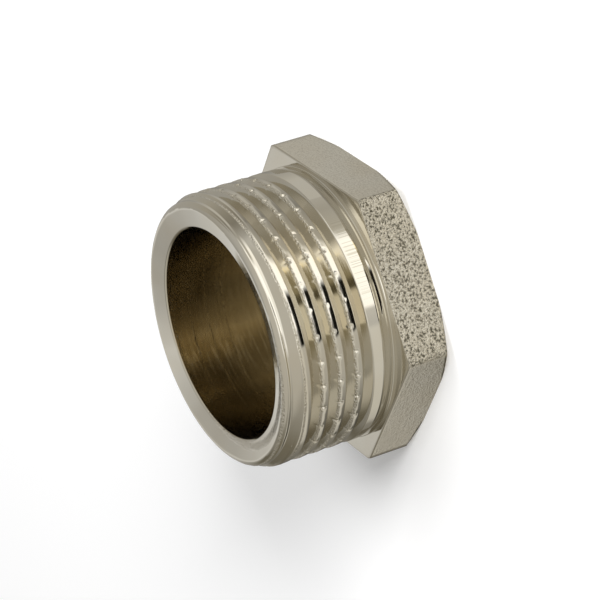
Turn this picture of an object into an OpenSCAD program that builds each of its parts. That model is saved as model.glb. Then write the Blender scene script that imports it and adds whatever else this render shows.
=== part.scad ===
// Hollow pipe plug: a turned and plated plug with a parallel pipe thread, a plain collar
// and a hexagon head. It stands on the back of its head, with the open mouth upwards.
// The origin is at the centre of the head's back face, and +Z runs along the thread axis.
// The thread's groove isn't cut: the threaded part is left at the diameter of its crests,
// and the collar behind it has the same diameter.

/* [Shank] */
// Outside diameter across the thread crests and the collar
thread_d = 26.44; // [26:0.01:28]
// Length of the collar and the threaded part together, from the neck to the lip
shank_len = 10.4; // [6:0.05:15]
// Diameter of the low ring at the foot of the shank, wide enough for a washer to pass the thread
foot_d = 26.5; // [26.46:0.02:26.8]
// Height of the ring at the foot of the shank
foot_h = 0.22; // [0.1:0.02:0.4]
// Diameter of the neck between the collar and the foot ring
neck_d = 25.8; // [25:0.1:25.9]
// Length of the neck and the foot ring together
neck_len = 1.05; // [0.5:0.05:2]
// Bevel on the collar's edge at the neck
collar_bevel = 0.12; // [0.05:0.01:0.3]

/* [Mouth] */
// Diameter of the bore
bore_d = 20.4; // [17:0.1:21.5]
// Depth of the bore, measured from the lip
bore_depth = 12.4; // [8:0.1:14]
// Bevel at the edge of the bore
mouth_bevel = 0.28; // [0.1:0.02:0.5]
// Diameter of the lip, the foremost ring of the mouth
lip_d = 24.4; // [23:0.1:25]
// Width of the lip's narrow flat
lip_w = 0.15; // [0.05:0.05:0.4]
// How far the face falls inwards from the lip to the bevel
lip_drop = 0.45; // [0.1:0.05:0.8]
// Length of the cone that leads in from the lip to the full crests
lead_len = 1.7; // [0.8:0.1:2.5]

/* [Head] */
// Width of the hexagon across its flats
hex_af = 27; // [26.8:0.1:32]
// Height of the hexagon head
head_h = 4.8; // [3.5:0.1:8]
// Radius of the hexagon's corners
corner_r = 0.5; // [0.3:0.1:2]
// Width across the flat circle on the back of the head, where the corners' cone starts
back_d = 27.8; // [24:0.1:30.4]
// Slope of the cone that takes off the back corners
back_slope = 23; // [15:1:45]

/* [Hidden] */
$fn = 96;

// Steps in one rounded corner of the head
corner_steps = 4;
// How far a cutting shape reaches past the surface that it cuts
past = 0.3;

crest_r = thread_d / 2;
foot_r = foot_d / 2;
neck_r = neck_d / 2;
bore_r = bore_d / 2;
lip_r = lip_d / 2;

neck_top = head_h + neck_len;
mouth_z = neck_top + shank_len;

// Outline of a hexagon with rounded corners, one corner every 60 degrees from +X
function rounded_hex(across, r, steps) =
    let (centre = (across / 2 - r) / cos(30))
    [for (i = [0:5], j = [0:steps])
        let (a = 60 * i + 60 * (j / steps - 0.5))
        [centre * cos(60 * i) + r * cos(a), centre * sin(60 * i) + r * sin(a)]];

// Half section of the turned shank, from the head to the mouth, without the bore
module shank_section() {
    polygon([
        [0, head_h / 2],
        [foot_r, head_h / 2],
        [foot_r, head_h + foot_h],
        [neck_r, head_h + foot_h],
        [neck_r, neck_top],
        [crest_r - collar_bevel, neck_top],
        [crest_r, neck_top + collar_bevel],
        [crest_r, mouth_z - lead_len],
        [lip_r, mouth_z],
        [0, mouth_z]
    ]);
}

// Half section of the blind bore, its bevel and the face that falls in from the lip
module bore_section() {
    polygon([
        [0, mouth_z - bore_depth],
        [bore_r, mouth_z - bore_depth],
        [bore_r, mouth_z - lip_drop - mouth_bevel],
        [bore_r + mouth_bevel, mouth_z - lip_drop],
        [lip_r - lip_w, mouth_z],
        [lip_r - lip_w, mouth_z + past],
        [0, mouth_z + past]
    ]);
}

// Hexagon head, its back corners taken off by a cone
module head() {
    tip_r = hex_af / 2 / cos(30);
    back_r = back_d / 2;
    cone_h = (tip_r - back_r) * tan(back_slope);
    intersection() {
        linear_extrude(head_h) polygon(rounded_hex(hex_af, corner_r, corner_steps));
        rotate_extrude() polygon([
            [0, 0],
            [back_r, 0],
            [tip_r, cone_h],
            [tip_r, head_h + past],
            [0, head_h + past]
        ]);
    }
}

// The whole plug, turned from one bar
module plug_body() {
    color([0.72, 0.71, 0.66]) difference() {
        union() {
            head();
            rotate_extrude() shank_section();
        }
        rotate_extrude() bore_section();
    }
}

plug_body();
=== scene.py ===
import math

import bmesh
import bpy
import numpy as np
from mathutils import Matrix, Vector


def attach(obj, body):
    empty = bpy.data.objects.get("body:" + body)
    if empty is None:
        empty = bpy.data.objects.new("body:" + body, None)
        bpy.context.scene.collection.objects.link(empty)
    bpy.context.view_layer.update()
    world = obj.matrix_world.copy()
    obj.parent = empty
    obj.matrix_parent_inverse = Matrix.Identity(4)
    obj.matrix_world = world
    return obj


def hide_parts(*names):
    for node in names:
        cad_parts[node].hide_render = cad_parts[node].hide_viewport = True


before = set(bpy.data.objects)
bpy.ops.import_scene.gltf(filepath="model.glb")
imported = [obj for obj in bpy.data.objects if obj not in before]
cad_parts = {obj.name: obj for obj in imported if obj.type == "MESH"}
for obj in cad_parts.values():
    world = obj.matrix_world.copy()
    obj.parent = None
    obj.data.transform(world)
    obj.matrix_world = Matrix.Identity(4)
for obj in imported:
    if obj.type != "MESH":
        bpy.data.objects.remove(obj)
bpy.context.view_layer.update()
scene = bpy.context.scene
scene.view_settings.view_transform = "Standard"
mm = 0.001

# The camera.
# A long lens looks into the mouth from the front. It is rolled, so that the plug lies on its side
# in the picture, as it was photographed.
LENS_MM = 180
SENSOR_MM = 36
NEAREST = 0.01
FARTHEST = 10
CAMERA_RIGHT = Vector((0.29679, 0.41938, -0.85792))
CAMERA_UP = Vector((-0.95489, 0.12065, -0.27135))
CAMERA_BACK = Vector((-0.01029, 0.89976, 0.43627))
CAMERA_PLACE = Vector((-3.649, 253.153, 129.513)) * mm
camera = bpy.data.objects.new("camera", bpy.data.cameras.new("camera"))
scene.collection.objects.link(camera)
camera.data.lens = LENS_MM
camera.data.sensor_width = SENSOR_MM
camera.data.clip_start = NEAREST
camera.data.clip_end = FARTHEST
camera_turn = Matrix((CAMERA_RIGHT, CAMERA_UP, CAMERA_BACK)).transposed().to_4x4()
camera.matrix_world = Matrix.Translation(CAMERA_PLACE) @ camera_turn
scene.camera = camera

# The turned blank.
# The plug is turned and milled from one bar of brass: hexagon head, neck, collar, shank with a
# lead-in, dished mouth and a blind bore. The thread is cut into it in the next section.
HEX_ACROSS = 27.0 * mm
HEX_CORNER = 0.5 * mm
HEAD_HIGH = 4.8 * mm
HEAD_EDGE = 0.12 * mm
BACK_RADIUS = 13.9 * mm
BACK_SLOPE = math.tan(math.radians(23))
FOOT_RADIUS = 13.25 * mm
FOOT_TOP = 5.02 * mm
FOOT_EDGE = 0.05 * mm
NECK_RADIUS = 12.9 * mm
NECK_TOP = 5.85 * mm
COLLAR_TOP = 7.1 * mm
CREST_RADIUS = 13.22 * mm
MOUTH = 16.25 * mm
LIP_RADIUS = 12.25 * mm
LIP_FLAT = 0.15 * mm
LIP_WAVER = 0.03 * mm
LIP_FALL = 0.45 * mm
BORE_RADIUS = 10.2 * mm
BORE_BEVEL = 0.12 * mm
BORE_FLOOR = 3.85 * mm
PITCH = 1.814 * mm
THREAD_START = math.radians(-2)
FIRST_GROOVE = 7.396 * mm
NICKS = 34
FIRST_NICK = math.radians(4.2)
NICK_STEP = 2 * math.pi / NICKS

# Directions round the plug: the same places within each step from nick to nick, closer together
# where the nick is
in_step = np.array([-0.15, -0.07, -0.035, 0, 0.035, 0.07, 0.1, 0.17, 0.32, 0.5, 0.68])
turns = np.sort(np.concatenate([FIRST_NICK + NICK_STEP * (k + in_step) for k in range(NICKS)]))
columns = len(turns)


def hex_radius(angle):
    """Distance from the axis to the side of the rounded hexagon, in each direction."""
    off_corner = (angle + math.pi / 6) % (math.pi / 3) - math.pi / 6
    centre = (HEX_ACROSS / 2 - HEX_CORNER) / math.cos(math.pi / 6)
    flat = HEX_ACROSS / 2 / np.cos(math.pi / 6 - np.abs(off_corner))
    aside = centre * np.sin(off_corner)
    rounded = centre * np.cos(off_corner) + np.sqrt(np.maximum(HEX_CORNER**2 - aside**2, 0))
    on_corner = np.abs(aside) < HEX_CORNER * math.sin(math.pi / 6)
    return np.where(on_corner & (rounded < flat), rounded, flat)


rings = []


def ring(radius, height):
    """Adds a ring of points. Its radius and height are one number, or one for each direction."""
    rings.append((np.broadcast_to(radius, columns), np.broadcast_to(height, columns)))


# The head: flat back, cone at the back corners, flats, slightly rounded front edges, front face
hexagon = hex_radius(turns)
back_edge = np.minimum(BACK_RADIUS, hexagon)
cone_high = (hexagon - back_edge) * BACK_SLOPE
for share in (0.3, 0.6, 0.85, 0.97, 1):
    ring(back_edge * share, 0)
for share in (0.25, 0.5, 0.75, 0.94):
    ring(back_edge + (hexagon - back_edge) * share, cone_high * share)
for share in np.linspace(0.02, 1, 30):
    ring(hexagon, cone_high + (HEAD_HIGH - HEAD_EDGE - cone_high) * share)
for degrees in (25, 50, 70, 90):
    inwards = HEAD_EDGE * (1 - math.cos(math.radians(degrees)))
    downwards = HEAD_EDGE * (1 - math.sin(math.radians(degrees)))
    ring(hexagon - inwards, HEAD_HIGH - downwards)
for share in (0.85, 0.5, 0.15, 0):
    ring(FOOT_RADIUS + (hexagon - HEAD_EDGE - FOOT_RADIUS) * share, HEAD_HIGH)

# The foot ring, then the hollow neck and the collar's lower edge: how far out from the neck's or
# the collar's radius each ring stands, and how high above the foot ring or the neck
ring(FOOT_RADIUS, FOOT_TOP - FOOT_EDGE)
ring(FOOT_RADIUS - FOOT_EDGE, FOOT_TOP)
neck_rings = [
    (0.04, 0), (-0.04, 0.04), (-0.034, 0.16), (-0.027, 0.28), (-0.02, 0.4), (-0.013, 0.5),
    (0, 0.57), (0.03, 0.63), (0.07, 0.69), (0.12, 0.75), (0.17, 0.8)]
for outwards, upwards in neck_rings:
    ring(NECK_RADIUS + outwards * mm, FOOT_TOP + upwards * mm)
collar_rings = [(-0.12, 0), (-0.04, 0.03), (0, 0.12), (0, 0.3), (0, 0.6), (0, 0.9)]
for outwards, upwards in collar_rings:
    ring(CREST_RADIUS + outwards * mm, NECK_TOP + upwards * mm)

# The shank before the thread is cut. It has the crests' radius up to the lead-in, a cone with a
# low step, which ends in the rounded lip.
lead_in_below_mouth = np.array([1.68, 0.85, 0.78, 0.46, 0.41, 0.2, 0.06, 0]) * mm
lead_in_inside_crests = np.array([0, 0.49, 0.51, 0.49, 0.51, 0.67, 0.83, 0.97]) * mm


def shank_radius(height):
    """Radius of the shank before the thread is cut, at each height."""
    inside = np.interp(height - MOUTH, -lead_in_below_mouth, lead_in_inside_crests)
    return CREST_RADIUS - inside


# The shank's rings climb with the thread, so that its edges run along them. They lie closest at
# the edges of the groove, start on the collar and stop at the lip.
from_groove_middle = np.array(
    [0, 0.05, 0.16, 0.3, 0.4, 0.47, 0.52, 0.55, 0.58, 0.62, 0.68, 0.76, 0.84]) * mm
in_pitch = np.concatenate([-from_groove_middle[:0:-1], from_groove_middle, [PITCH / 2]])
climb = len(in_pitch)
risen = PITCH * (turns - THREAD_START) / (2 * math.pi)
shank_start = NECK_TOP + 1.0 * mm
FIRST_TURN = -2
LAST_TURN = 6
first_row = len(rings)
for turn in range(FIRST_TURN, LAST_TURN + 1):
    for offset in in_pitch:
        height = FIRST_GROOVE + PITCH * turn + risen + offset
        if height.max() > shank_start and height.min() < MOUTH:
            height = np.clip(height, shank_start, MOUTH)
            ring(shank_radius(height), height)
last_row = len(rings) - 1
ring(LIP_RADIUS, MOUTH)

# The mouth: narrow lip with a slightly wavering edge, face that falls in to the bore, bevel, bore
# wall and floor
wave = np.sin(5 * turns + 1) + np.sin(11 * turns + 2) + 0.6 * np.sin(23 * turns)
face_out = LIP_RADIUS - LIP_FLAT + LIP_WAVER * wave
bevel_out = BORE_RADIUS + BORE_BEVEL
bore_top = MOUTH - LIP_FALL - BORE_BEVEL
ring(face_out, MOUTH)
for share in (0.06, 0.35, 0.65, 0.94, 1):
    ring(face_out + (bevel_out - face_out) * share, MOUTH - LIP_FALL * share)
for share in (0.1, 0.5, 0.9):
    ring(bevel_out - BORE_BEVEL * share, MOUTH - LIP_FALL - BORE_BEVEL * share)
for share in np.linspace(0, 0.97, 14):
    ring(BORE_RADIUS, bore_top + (BORE_FLOOR - bore_top) * share)
for share in (1, 0.98, 0.9, 0.6, 0.3):
    ring(BORE_RADIUS * share, BORE_FLOOR)
top_row = len(rings) - 1

points = [(0, 0, 0)]
for radius, height in rings:
    points.extend(zip(radius * np.cos(turns), radius * np.sin(turns), height))
points.append((0, 0, BORE_FLOOR))


def corner(row, column):
    """The number of the point where a ring crosses a direction."""
    return 1 + row * columns + column


faces = []
for column in range(columns):
    after = (column + 1) % columns
    faces.append((0, corner(0, after), corner(0, column)))
    for row in range(top_row):
        if after > 0 or row < first_row - 1 or row > last_row:
            lower = (corner(row, column), corner(row, after))
            upper = (corner(row + 1, after), corner(row + 1, column))
            faces.append(lower + upper)
    faces.append((corner(top_row, column), corner(top_row, after), len(points) - 1))

# Where the last direction meets the first, each climbing ring goes on as the ring one turn above.
# One many-sided face closes the climbing rings at the collar, and one at the lip.
last = columns - 1
collar_points = [corner(row, 0) for row in range(first_row - 1, first_row + climb + 1)]
faces.append((corner(first_row - 1, last), *collar_points, corner(first_row, last)))
for row in range(first_row, last_row - climb):
    lower = (corner(row, last), corner(row + climb, 0))
    upper = (corner(row + climb + 1, 0), corner(row + 1, last))
    faces.append(lower + upper)
lip_points = [corner(row, last) for row in range(last_row + 1, last_row - climb - 1, -1)]
faces.append((corner(last_row, 0), corner(last_row + 1, 0), *lip_points))
blank = bpy.data.meshes.new("plug")
blank.from_pydata([tuple(map(float, p)) for p in points], [], faces)
plug = bpy.data.objects.new("plug", blank)
scene.collection.objects.link(plug)

# The thread and its nicks.
# A V-shaped groove is cut along a right-hand helix, runs out into the collar and grows shallow at
# the mouth. Rows of nicks were pressed across its crests, and left a small burr beside each.
ROOT_RADIUS = 12.14 * mm
HALF_GROOVE = 0.56 * mm
RUN_OUT_LIFT = 1.2
ROUGHNESS_SIZE = 0.5 * mm
thread_sizes = {
    "Pitch": PITCH,
    "Start height": FIRST_GROOVE,
    "Start angle": THREAD_START,
    "Crest radius": CREST_RADIUS,
    "Root radius": ROOT_RADIUS,
    "Flank slope": math.tan(math.radians(27.5)),
    "Half groove": HALF_GROOVE,
    "Edge rounding": 0.08 * mm,
    "Run-out start": -0.05,
    "Run-out end": -0.4,
    "Fade start": 3.6,
    "Fade end": 4.1,
    "Fade height": 0.95 * mm,
    "Crest width": PITCH - 2 * HALF_GROOVE,
    "Crest straight": 0.05 * mm,
    "Crest curve": 0.165 / mm,
    "Rough edge": 0.07 * mm,
    "Rough edge breadth": 0.12 * mm,
    "Mouth": MOUTH,
    "First nick": FIRST_NICK,
    "Last nick": 3.75,
    "Nick middle": 0.68 * mm,
    "Nick half width": 0.2 * mm,
    "Nick half length": 0.36 * mm,
    "Nick depth": 0.16 * mm,
    "Least nick": 0.55,
    "Nick spread": 0.9,
    "Burr": 0.05 * mm,
    "Burr offset": 0.24 * mm,
    "Worn side": math.radians(88),
    "Worn within": math.radians(9),
    "Worn up to": math.radians(16),
    "Worn nick": 0.15,
}


def feed(tree, source, socket):
    """Joins an output to a socket, or writes a number or a colour there."""
    if isinstance(source, bpy.types.NodeSocket):
        tree.links.new(source, socket)
    else:
        socket.default_value = source


def math_node(tree, operation, *values):
    """Adds a Math node and returns its output. Each value is a number or another output."""
    made = tree.nodes.new("ShaderNodeMath")
    made.operation = operation
    for value, socket in zip(values, made.inputs):
        feed(tree, value, socket)
    return made.outputs[0]


def total(tree, first, *others):
    """Adds outputs and numbers, one after another."""
    for other in others:
        first = math_node(tree, "ADD", first, other)
    return first


def product(tree, first, *others):
    """Multiplies outputs and numbers, one after another."""
    for other in others:
        first = math_node(tree, "MULTIPLY", first, other)
    return first


def less(tree, value, taken):
    """The value with another taken away from it."""
    return math_node(tree, "SUBTRACT", value, taken)


def from_mark(tree, value, mark):
    """How far a value is from a mark, on either side."""
    return math_node(tree, "ABSOLUTE", less(tree, value, mark))


def between(tree, value, low, high, least=0.0):
    """The least share where value is below low, 1 where it is above high, even in between."""
    made = tree.nodes.new("ShaderNodeMapRange")
    feed(tree, value, made.inputs["Value"])
    feed(tree, low, made.inputs["From Min"])
    feed(tree, high, made.inputs["From Max"])
    feed(tree, least, made.inputs["To Min"])
    return made.outputs["Result"]


def falling(tree, distance, reach):
    """1 at no distance, falling evenly to 0 at the reach."""
    share = math_node(tree, "DIVIDE", distance, reach)
    return math_node(tree, "MAXIMUM", less(tree, 1, share), 0)


def joined(tree, x, y, z=0.0):
    """Three values as one vector."""
    made = tree.nodes.new("ShaderNodeCombineXYZ")
    for value, socket in zip((x, y, z), made.inputs):
        feed(tree, value, socket)
    return made.outputs[0]


def parted(tree, vector):
    """The three values of a vector."""
    made = tree.nodes.new("ShaderNodeSeparateXYZ")
    feed(tree, vector, made.inputs[0])
    return made.outputs


def noise(tree, vector, size, detail=2.0, roughness=0.5):
    """Noise whose grains are about the given size."""
    made = tree.nodes.new("ShaderNodeTexNoise")
    made.inputs["Scale"].default_value = 1 / size
    made.inputs["Detail"].default_value = detail
    made.inputs["Roughness"].default_value = roughness
    feed(tree, vector, made.inputs["Vector"])
    return made.outputs[0]


def axis_distance(tree, x, y):
    """Distance from the thread's axis."""
    return math_node(tree, "SQRT", total(tree, product(tree, x, x), product(tree, y, y)))


def thread_place(tree, x, y, z, pitch, start_height, start_angle):
    """Height above the nearest groove, that groove's number, and how many turns it has made."""
    from_start = less(tree, math_node(tree, "ARCTAN2", y, x), start_angle)
    turned_by = math_node(tree, "DIVIDE", from_start, 2 * math.pi)
    groove_height = total(tree, start_height, product(tree, turned_by, pitch))
    grooves_up = math_node(tree, "DIVIDE", less(tree, z, groove_height), pitch)
    number = math_node(tree, "ROUND", grooves_up)
    height = product(tree, less(tree, grooves_up, number), pitch)
    return height, number, total(tree, number, turned_by)


cut = bpy.data.node_groups.new("thread cut", "GeometryNodeTree")
cut.interface.new_socket("Geometry", in_out="INPUT", socket_type="NodeSocketGeometry")
cut.interface.new_socket("Geometry", in_out="OUTPUT", socket_type="NodeSocketGeometry")
for name, size in thread_sizes.items():
    socket = cut.interface.new_socket(name, in_out="INPUT", socket_type="NodeSocketFloat")
    socket.default_value = size
cut.interface.new_socket("Material", in_out="INPUT", socket_type="NodeSocketMaterial")
given = cut.nodes.new("NodeGroupInput").outputs
position = cut.nodes.new("GeometryNodeInputPosition").outputs[0]
x, y, z = parted(cut, position)
radius = axis_distance(cut, x, y)
angle = math_node(cut, "ARCTAN2", y, x)
above_groove, groove_number, along = thread_place(
    cut, x, y, z, given["Pitch"], given["Start height"], given["Start angle"])

# The groove: its flanks rise from the root, and its bottom lifts at the run-out and at the mouth
flank = math_node(cut, "DIVIDE", math_node(cut, "ABSOLUTE", above_groove), given["Flank slope"])
running_out = between(cut, along, given["Run-out start"], given["Run-out end"])
fading = between(cut, along, given["Fade start"], given["Fade end"])
full_depth = less(cut, given["Crest radius"], given["Root radius"])
run_out_lift = product(cut, full_depth, RUN_OUT_LIFT, running_out)
lift = total(cut, run_out_lift, product(cut, fading, given["Fade height"]))
groove = total(cut, total(cut, given["Root radius"], lift), flank)
cut_radius = math_node(cut, "SMOOTH_MIN", radius, groove, given["Edge rounding"])

# The crests curve inwards towards the head, so they are highest at their mouth-side edge, which
# the tool left rough
along_crest = less(cut, along, math_node(cut, "LESS_THAN", above_groove, 0))
full_crest = between(cut, along_crest, given["Run-out end"], given["Run-out start"])
off_edge = total(cut, above_groove, given["Half groove"])
past_edge = math_node(cut, "FLOORED_MODULO", product(cut, off_edge, -1), given["Pitch"])
way_back = less(cut, product(cut, given["Crest width"], 2), past_edge)
way_back = math_node(cut, "MAXIMUM", way_back, 0)
over_crest = math_node(cut, "MINIMUM", past_edge, way_back)
over_crest = math_node(cut, "MAXIMUM", less(cut, over_crest, given["Crest straight"]), 0)
half_curve = product(cut, given["Crest curve"], 0.5)
lean = product(cut, product(cut, over_crest, over_crest), half_curve, full_crest)
ragged = noise(cut, position, ROUGHNESS_SIZE)
swing = product(cut, less(cut, ragged, 0.5), 2)
at_edge = falling(cut, math_node(cut, "ABSOLUTE", off_edge), given["Rough edge breadth"])
rough_edge = product(cut, swing, at_edge, given["Rough edge"], full_crest)

# A nick is a V-shaped notch over the mouth-side edge of each crest. Its depth differs from nick
# to nick, and the metal that it pushed aside stands up as a burr on one side. On one side of the
# plug the nicks are worn.
nicks_round = math_node(cut, "DIVIDE", less(cut, angle, given["First nick"]), NICK_STEP)
nick_number = math_node(cut, "ROUND", nicks_round)
from_nick = product(cut, less(cut, nicks_round, nick_number), NICK_STEP * CREST_RADIUS)
chance_node = cut.nodes.new("ShaderNodeTexWhiteNoise")
chance_node.noise_dimensions = "2D"
feed(cut, joined(cut, nick_number, groove_number), chance_node.inputs["Vector"])
chance = chance_node.outputs[0]
off_middle = math_node(cut, "ABSOLUTE", total(cut, above_groove, given["Nick middle"]))
length_share = falling(cut, off_middle, given["Nick half length"])
width_share = falling(cut, math_node(cut, "ABSOLUTE", from_nick), given["Nick half width"])
off_worn_side = from_mark(cut, angle, given["Worn side"])
wear = between(cut, off_worn_side, given["Worn within"], given["Worn up to"], given["Worn nick"])
strength = total(cut, given["Least nick"], product(cut, chance, given["Nick spread"]))
notch = product(cut, width_share, length_share, strength, wear)
burr_share = falling(cut, from_mark(cut, from_nick, given["Burr offset"]), given["Nick half width"])
burr = product(cut, burr_share, product(cut, length_share, wear), chance)
pressed = less(cut, product(cut, burr, given["Burr"]), product(cut, notch, given["Nick depth"]))
past_run_out = math_node(cut, "GREATER_THAN", along_crest, 0)
before_last = math_node(cut, "LESS_THAN", along, given["Last nick"])
pressed = product(cut, pressed, product(cut, past_run_out, before_last))
relief = total(cut, pressed, less(cut, rough_edge, lean))

# Points of the shank move to their new distance from the axis, and all others stay
stretch = math_node(cut, "DIVIDE", total(cut, cut_radius, relief), radius)
above_collar = math_node(cut, "GREATER_THAN", along, given["Run-out end"])
below_mouth = math_node(cut, "LESS_THAN", z, given["Mouth"])
outside = math_node(cut, "GREATER_THAN", radius, given["Root radius"])
shape = cut.nodes.new("GeometryNodeSetPosition")
feed(cut, given["Geometry"], shape.inputs["Geometry"])
feed(cut, product(cut, above_collar, below_mouth, outside), shape.inputs["Selection"])
moved = joined(cut, product(cut, x, stretch), product(cut, y, stretch), z)
feed(cut, moved, shape.inputs["Position"])
real = cut.nodes.new("GeometryNodeRealizeInstances")
feed(cut, shape.outputs[0], real.inputs[0])
plated = cut.nodes.new("GeometryNodeSetMaterial")
feed(cut, real.outputs[0], plated.inputs["Geometry"])
feed(cut, given["Material"], plated.inputs["Material"])
feed(cut, plated.outputs[0], cut.nodes.new("NodeGroupOutput").inputs[0])

# The plating.
# Nickel over brass: fine turning lines round the shank, chatter on the collar, and a grain on the
# hexagon's flats, coarse on two of them. It is thin in the bore, which is browner, with painted
# shade on two sides and towards the floor, and a few painted highlights as bright strokes.
NICKEL = (0.72, 0.695, 0.625)
NICKEL_WARM = (0.70, 0.66, 0.57)
CHATTER_DULL = (0.5, 0.47, 0.38)
GRAIN_DULL = (0.56, 0.53, 0.455)
PIT_DULL = (0.12, 0.11, 0.08)
BORE_METAL = (0.72, 0.645, 0.49)
# Dull streaks in the bore, and painted shade towards its floor
BORE_DULL_AND_SHADE = (0.56, 0.48, 0.32)
# Painted shade for the bore's two darker sides
BORE_PAINTED_SHADE = (0.2, 0.16, 0.09)
# A painted highlight: the colour of the bore's few short bright strokes
BORE_PAINTED_HIGHLIGHT = (1, 0.97, 0.9)
PATCH_SIZE = 5 * mm
LINE_SIZE = 0.09 * mm
LINE_DEPTH = 0.008 * mm
LINE_STRENGTH = 0.12
GRAIN_SIZE = 0.22 * mm
GRAIN_DEPTH = 0.2 * mm
UNEVEN_SIZE = 0.7 * mm
GRAIN_UNEVENNESS = 0.4
FINE_FLAT_GRAIN = 0.1
STREAK_SIZE = 0.3 * mm
STREAK_STRETCH = 10
# Painted shade that darkens the bore towards its floor
SHADE_IN_DEPTH = 0.25
# How strongly painted shade darkens the bore's two sides
PAINTED_SIDE_SHADE = 0.8
CHATTER_STRENGTH = 0.8
CHATTER_SHARE_OF_RADIUS = 0.013
EDGE_GRAIN_SIZE = 0.22 * mm
EDGE_GRAIN_DEPTH = 0.26 * mm
EDGE_GRAIN_FROM_TURN = 0.9
SHANK_ROUGH = 0.03
LINES_ROUGH = 0.05
HEAD_ROUGH = 0.1
UNEVEN_ROUGH = 0.08
BORE_ROUGH = 0.12
plating = bpy.data.materials.new("nickel plate")
plating.use_nodes = True
plate = plating.node_tree
shader = plate.nodes["Principled BSDF"]
shader.inputs["Metallic"].default_value = 1.0


def mix_colour(tree, share, first, second):
    """Passes from the first colour to the second. Each is an output, or three numbers."""
    made = tree.nodes.new("ShaderNodeMix")
    made.data_type = "RGBA"
    feed(tree, share, made.inputs["Factor"])
    for colour, socket in ((first, made.inputs["A"]), (second, made.inputs["B"])):
        feed(tree, (*colour, 1) if isinstance(colour, tuple) else colour, socket)
    return made.outputs["Result"]


# The places: head, coarse flats, collar, outside and bore
coords = plate.nodes.new("ShaderNodeTexCoord").outputs["Object"]
px, py, pz = parted(plate, coords)
from_axis = axis_distance(plate, px, py)
head_part = between(plate, pz, HEAD_HIGH + 0.02 * mm, HEAD_HIGH - 0.1 * mm)
half_across = HEX_ACROSS / 2
flat_side = between(plate, from_axis, half_across - 0.05 * mm, half_across - 0.02 * mm)
off_middle_plane = math_node(plate, "ABSOLUTE", py)
coarse_flat = between(plate, off_middle_plane, half_across - 0.3 * mm, half_across - 0.15 * mm)
outside_part = between(plate, from_axis, BORE_RADIUS - 0.02 * mm, BORE_RADIUS + 0.06 * mm)
above_neck = between(plate, pz, NECK_TOP, NECK_TOP + 0.05 * mm)
below_thread = between(plate, pz, COLLAR_TOP + 0.2 * mm, COLLAR_TOP - 0.1 * mm)
collar_part = product(plate, above_neck, below_thread, outside_part)
above_floor = between(plate, pz, BORE_FLOOR - 0.1 * mm, BORE_FLOOR - 0.02 * mm)
bore_part = product(plate, less(plate, 1, outside_part), above_floor)

# The outside's colour: slightly warmer patches, then chatter, which is fine dull lines along the
# collar on one stretch of it, and last the grain with its dull pits
patches = noise(plate, coords, PATCH_SIZE)
outer = mix_colour(plate, between(plate, patches, 0.35, 0.7), NICKEL, NICKEL_WARM)
turn_cosine = math_node(plate, "DIVIDE", px, from_axis)
turn_place = joined(plate, turn_cosine, math_node(plate, "DIVIDE", py, from_axis))
chatter = between(plate, noise(plate, turn_place, CHATTER_SHARE_OF_RADIUS, 1.0), 0.48, 0.62)
chatter_start = between(plate, turn_cosine, 0.08, -0.02)
chatter_end = between(plate, turn_cosine, -0.55, -0.4)
chattered = product(plate, chatter, product(plate, chatter_start, chatter_end), collar_part)
outer = mix_colour(plate, product(plate, chattered, CHATTER_STRENGTH), outer, CHATTER_DULL)
grain = noise(plate, coords, GRAIN_SIZE, 3.0, 0.6)
coarse_share = product(plate, coarse_flat, 1 - FINE_FLAT_GRAIN)
grain_share = total(plate, FINE_FLAT_GRAIN, coarse_share)
grained = product(plate, product(plate, head_part, flat_side), grain_share)
hollows = product(plate, between(plate, grain, 0.58, 0.49), grained)
outer = mix_colour(plate, hollows, outer, GRAIN_DULL)
pits = product(plate, between(plate, grain, 0.47, 0.38), grained)
outer = mix_colour(plate, pits, outer, PIT_DULL)

# The bore's colour: streaks round the wall, painted shade that darkens it towards the floor and on
# two sides, and a few painted highlights as short bright strokes on one stretch of the wall
streak_place = joined(
    plate, product(plate, px, 1 / STREAK_STRETCH), product(plate, py, 1 / STREAK_STRETCH),
    total(plate, pz, from_axis))
streaks = noise(plate, streak_place, STREAK_SIZE, 2.0, 0.6)
# Painted shade: the bore grows darker towards its floor, added to the dull streaks
depth_shade = between(plate, pz, MOUTH - 1 * mm, BORE_FLOOR)
dull_and_depth_shade = total(plate, between(plate, streaks, 0.62, 0.35), product(plate, depth_shade, SHADE_IN_DEPTH))
inner = mix_colour(plate, math_node(plate, "MINIMUM", dull_and_depth_shade, 1), BORE_METAL, BORE_DULL_AND_SHADE)
# Painted shade: the bore wall is darkened on two sides, placed by object coordinates
painted_shade_left = between(plate, px, -4 * mm, -9.5 * mm)
painted_shade_right = between(plate, px, 6 * mm, 10 * mm)
painted_side_shade = product(plate, total(plate, painted_shade_left, painted_shade_right), PAINTED_SIDE_SHADE)
inner = mix_colour(plate, painted_side_shade, inner, BORE_PAINTED_SHADE)
# Painted highlights: a few short bright strokes on one stretch of the bore wall
highlight_strokes_start = between(plate, px, 0.6 * mm, 1.2 * mm)
highlight_strokes_end = between(plate, px, 5 * mm, 2 * mm)
on_wall = between(plate, from_axis, BORE_RADIUS - 0.5 * mm, BORE_RADIUS - 0.3 * mm)
highlight_stroke_part = product(plate, highlight_strokes_start, highlight_strokes_end, on_wall)
painted_highlight_strokes = product(plate, between(plate, streaks, 0.5, 0.62), highlight_stroke_part)
inner = mix_colour(plate, painted_highlight_strokes, inner, BORE_PAINTED_HIGHLIGHT)
feed(plate, mix_colour(plate, bore_part, outer, inner), shader.inputs["Base Color"])

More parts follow.
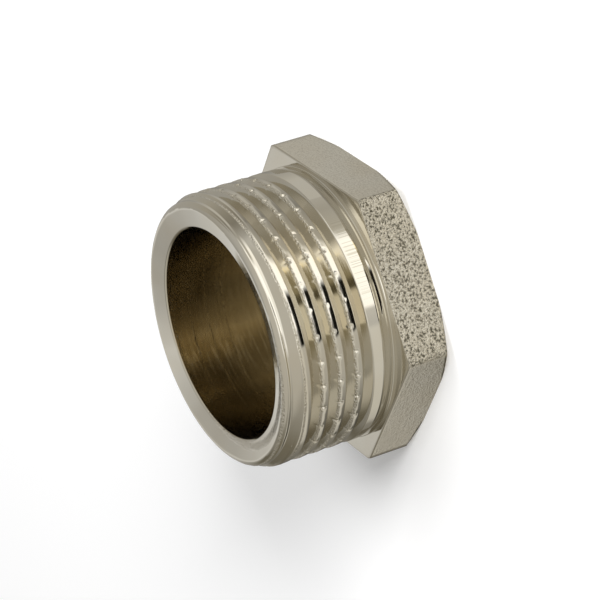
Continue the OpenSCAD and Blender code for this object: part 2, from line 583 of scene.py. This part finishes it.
# The polish: bright on the shank, a little duller on the head and in the bore. The turning lines
# are noise over the height and the distance from the axis only.
lines = noise(plate, joined(plate, from_axis, 0.0, pz), LINE_SIZE, 3.0, 0.6)
uneven = noise(plate, coords, UNEVEN_SIZE, 1.0)
shank_rough = total(plate, SHANK_ROUGH, product(plate, lines, LINES_ROUGH))
head_rough = total(plate, HEAD_ROUGH, product(plate, uneven, UNEVEN_ROUGH))
shank_rough = product(plate, shank_rough, less(plate, 1, head_part))
head_rough = product(plate, head_rough, head_part)
rough = total(plate, shank_rough, head_rough, product(plate, bore_part, BORE_ROUGH))
feed(plate, rough, shader.inputs["Roughness"])


def bump(height, distance, strength, under=None):
    """Relief too fine for the mesh, over the relief that is under it."""
    made = plate.nodes.new("ShaderNodeBump")
    made.inputs["Distance"].default_value = distance
    feed(plate, strength, made.inputs["Strength"])
    feed(plate, height, made.inputs["Height"])
    if under is not None:
        feed(plate, under, made.inputs["Normal"])
    return made.outputs[0]


# The finest relief: turning lines, a sparkle along the rough edges of the crests, and the grain
thread_height, _, thread_along = thread_place(
    plate, px, py, pz, PITCH, FIRST_GROOVE, THREAD_START)
off_crest_edge = math_node(plate, "ABSOLUTE", total(plate, thread_height, HALF_GROOVE))
near_edge = between(plate, off_crest_edge, 0.13 * mm, 0.04 * mm)
past_first_turn = math_node(plate, "GREATER_THAN", thread_along, EDGE_GRAIN_FROM_TURN)
edge_part = product(plate, near_edge, past_first_turn, outside_part)
edge_grain = noise(plate, coords, EDGE_GRAIN_SIZE, 2.0, 0.6)
grain_height = total(plate, grain, product(plate, uneven, GRAIN_UNEVENNESS))
line_relief = bump(lines, LINE_DEPTH, LINE_STRENGTH)
edge_relief = bump(edge_grain, EDGE_GRAIN_DEPTH, edge_part, line_relief)
feed(plate, bump(grain_height, GRAIN_DEPTH, grained, edge_relief), shader.inputs["Normal"])

# The finished plug.
# One piece of plated brass with no joints, so it rides on the root body. The thread is applied,
# doubled points are merged, and its crisp edges are kept.
SAME_POINT = 0.002 * mm
TOO_SHORT = 0.001 * mm
CRISP_ANGLE = math.radians(38)
modifier = plug.modifiers.new("thread", "NODES")
modifier.node_group = cut
for item in cut.interface.items_tree:
    if item.in_out == "INPUT" and item.name == "Material":
        modifier[item.identifier] = plating
    elif item.in_out == "INPUT" and item.name in thread_sizes:
        modifier[item.identifier] = thread_sizes[item.name]
evaluated = plug.evaluated_get(bpy.context.evaluated_depsgraph_get())
solid = bpy.data.meshes.new_from_object(evaluated)
plug.modifiers.clear()
plug.data = solid
cleaner = bmesh.new()
cleaner.from_mesh(solid)
bmesh.ops.remove_doubles(cleaner, verts=cleaner.verts, dist=SAME_POINT)
bmesh.ops.dissolve_degenerate(cleaner, edges=cleaner.edges, dist=TOO_SHORT)
bmesh.ops.recalc_face_normals(cleaner, faces=cleaner.faces)
cleaner.to_mesh(solid)
cleaner.free()
solid.shade_smooth()
solid.set_sharp_from_angle(angle=CRISP_ANGLE)
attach(plug, "root")
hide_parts("plug_body")

# The floor.
# A white table top that the plug stands on. The camera sees it a little brighter than the lamps
# make it, and the plug's shadow stays on it.
FLOOR_SIZE = 6
FLOOR_DROP = 0.02 * mm
FLOOR_WHITE = (0.9, 0.9, 0.9, 1)
FLOOR_ROUGH = 0.9
FLOOR_GLOW = 0.12
bpy.ops.mesh.primitive_plane_add(size=FLOOR_SIZE)
floor = bpy.context.object
floor.name = "floor"
floor.location.z = -FLOOR_DROP
floor.visible_glossy = False
white = bpy.data.materials.new("white table")
white.use_nodes = True
floor_tree = white.node_tree
floor_shader = floor_tree.nodes["Principled BSDF"]
floor_shader.inputs["Base Color"].default_value = FLOOR_WHITE
floor_shader.inputs["Roughness"].default_value = FLOOR_ROUGH
floor_shader.inputs["Specular IOR Level"].default_value = 0


def looked_at(tree):
    """1 for the camera, gloss and glass, and 0 for the light that falls on things."""
    rays = tree.nodes.new("ShaderNodeLightPath").outputs
    mirrored = math_node(tree, "MAXIMUM", rays["Is Glossy Ray"], rays["Is Transmission Ray"])
    return math_node(tree, "MAXIMUM", rays["Is Camera Ray"], mirrored)


glow = floor_tree.nodes.new("ShaderNodeEmission")
feed(floor_tree, product(floor_tree, looked_at(floor_tree), FLOOR_GLOW), glow.inputs["Strength"])
both = floor_tree.nodes.new("ShaderNodeAddShader")
feed(floor_tree, floor_shader.outputs[0], both.inputs[0])
feed(floor_tree, glow.outputs[0], both.inputs[1])
feed(floor_tree, both.outputs[0], floor_tree.nodes["Material Output"].inputs["Surface"])
floor.data.materials.append(white)

# The studio round the plug.
# A round tent that only gloss sees, so that the plating shows light and dark bands. It is built
# of level rings, and each ring's tone follows the direction.
TENT_RADIUS = 1.0
bpy.ops.mesh.primitive_uv_sphere_add(segments=64, ring_count=32, radius=TENT_RADIUS)
tent = bpy.context.object
tent.name = "studio_tent"
for sight in ("camera", "diffuse", "shadow", "transmission", "volume_scatter"):
    setattr(tent, "visible_" + sight, False)
tent_cloth = bpy.data.materials.new("studio tent")
tent_cloth.use_nodes = True
tent_cloth.cycles.emission_sampling = "NONE"
tent_tree = tent_cloth.node_tree
tent_tree.nodes.clear()
tent_coords = tent_tree.nodes.new("ShaderNodeTexCoord").outputs["Object"]
tent_x, tent_y, tent_z = parted(tent_tree, tent_coords)
tent_angle = math_node(tent_tree, "ARCTAN2", tent_y, tent_x)
round_share = total(tent_tree, math_node(tent_tree, "DIVIDE", tent_angle, 2 * math.pi), 0.5)
height_share = math_node(tent_tree, "DIVIDE", tent_z, TENT_RADIUS)


def tent_ring(*stops):
    """A ring's tone. Each stop is a direction in degrees, a brightness and a loss of blue."""
    ramp = tent_tree.nodes.new("ShaderNodeValToRGB")
    places = [(degrees + 180) / 360 for degrees, bright, warm in stops]
    marks = ramp.color_ramp.elements
    while len(marks) < len(stops):
        marks.new(places[len(marks)])
    for mark, place, (degrees, bright, warm) in zip(marks, places, stops):
        mark.position = place
        mark.color = (bright, bright * (1 - 0.3 * warm), bright * (1 - warm), 1)
    feed(tent_tree, round_share, ramp.inputs[0])
    return ramp.outputs["Color"]


def over(lower, upper, low, high):
    """Passes from the lower ring to the upper one between two heights on the tent."""
    rise = between(tent_tree, height_share, low, high)
    rise.node.interpolation_type = "SMOOTHSTEP"
    return mix_colour(tent_tree, rise, lower, upper)


# The nadir shows in what faces the floor, the skirt in the thread's flanks, the hem in the
# leaning crests and the neck, the wall in the collar and the hexagon's flats, and the brow and
# the top in the mouth's face and the bore.
nadir = tent_ring((-180, 0.55, 0.15), (180, 0.55, 0.15))
skirt = tent_ring(
    (-180, 0.27, 0.25), (-60, 0.15, 0.3), (-10, 0.3, 0.42), (59, 0.34, 0.42), (60, 1.0, 0.25),
    (92, 0.95, 0.25), (96, 0.12, 0.5), (102, 0.15, 0.5), (106, 0.4, 0.45), (126, 0.4, 0.5),
    (128.5, 1.7, 0.5), (133, 1.7, 0.5), (136, 0.42, 0.4), (179.9, 0.25, 0.3))
hem = tent_ring(
    (-180, 0.28, 0.15), (-150, 0.42, 0.15), (-60, 0.1, 0.25), (-38, 0.07, 0.3), (-10, 0.2, 0.2),
    (22, 0.5, 0.15), (59.5, 0.6, 0.15), (61, 0.006, 0.3), (103, 0.012, 0.3), (110, 1.5, 0.05),
    (132, 1.5, 0.12), (142, 0.5, 0.2), (179.9, 0.35, 0.15))
wall = tent_ring(
    (-180, 0.6, 0.1), (-148, 0.58, 0.12), (-110, 0.3, 0.15), (-80, 0.12, 0.2), (-42, 0.28, 0.2),
    (-34, 0.55, 0.14), (-20, 0.66, 0.14), (58, 0.76, 0.14), (61, 0.62, 0.1), (74, 0.7, 0.1),
    (77, 1.5, 0.06), (134, 1.5, 0.06), (144, 0.55, 0.2), (166, 0.46, 0.16), (179.9, 0.52, 0.12))
brow = tent_ring(
    (-180, 0.27, 0.2), (-150, 0.42, 0.2), (-104, 0.43, 0.1), (-90, 0.74, 0.05), (-76, 0.43, 0.1),
    (-60, 0.16, 0.3), (-30, 0.2, 0.3), (55, 0.6, 0.12), (64, 1.1, 0.08), (150, 1.3, 0.1),
    (165, 0.42, 0.15), (179.9, 0.27, 0.2))
top = tent_ring(
    (-180, 0.5, 0.1), (-120, 0.4, 0.12), (-104, 0.43, 0.1), (-90, 0.74, 0.05), (-76, 0.43, 0.1),
    (-60, 0.2, 0.2), (-20, 0.5, 0.15), (60, 0.6, 0.15), (130, 0.6, 0.15), (179.9, 0.5, 0.1))
tone = over(nadir, skirt, low=-0.9, high=-0.8)
tone = over(tone, hem, low=-0.625, high=-0.605)
tone = over(tone, wall, low=-0.49, high=-0.46)
tone = over(tone, brow, low=-0.38, high=-0.18)
tone = over(tone, top, low=0.36, high=0.5)
tent_glow = tent_tree.nodes.new("ShaderNodeEmission")
feed(tent_tree, tone, tent_glow.inputs["Color"])
tent_out = tent_tree.nodes.new("ShaderNodeOutputMaterial")
feed(tent_tree, tent_glow.outputs[0], tent_out.inputs["Surface"])
tent.data.materials.append(tent_cloth)

# The light.
# An even white sky and two soft lamps, which throw the plug's soft shadow on the floor. Gloss
# doesn't see the lamps, so the plating mirrors only the tent.
SKY_LIGHT = 0.38
world = bpy.data.worlds.new("studio")
scene.world = world
world.use_nodes = True
sky_tree = world.node_tree
background = sky_tree.nodes["Background"]
background.inputs["Color"].default_value = (1, 1, 1, 1)
sky = total(sky_tree, SKY_LIGHT, product(sky_tree, looked_at(sky_tree), 1 - SKY_LIGHT))
feed(sky_tree, sky, background.inputs["Strength"])


def soft_lamp(name, place, size, watts):
    """A square lamp that shines at the plug."""
    lamp = bpy.data.objects.new(name, bpy.data.lights.new(name, "AREA"))
    scene.collection.objects.link(lamp)
    lamp.data.size = size
    lamp.data.energy = watts
    lamp.location = place
    lamp.rotation_euler = (-lamp.location).to_track_quat("-Z", "Y").to_euler()
    lamp.visible_glossy = False


soft_lamp("left lamp", place=(-0.5, 0.16, 0.72), size=0.5, watts=3.2)
soft_lamp("front lamp", place=(-0.32, 0.72, 0.22), size=0.4, watts=12.0)
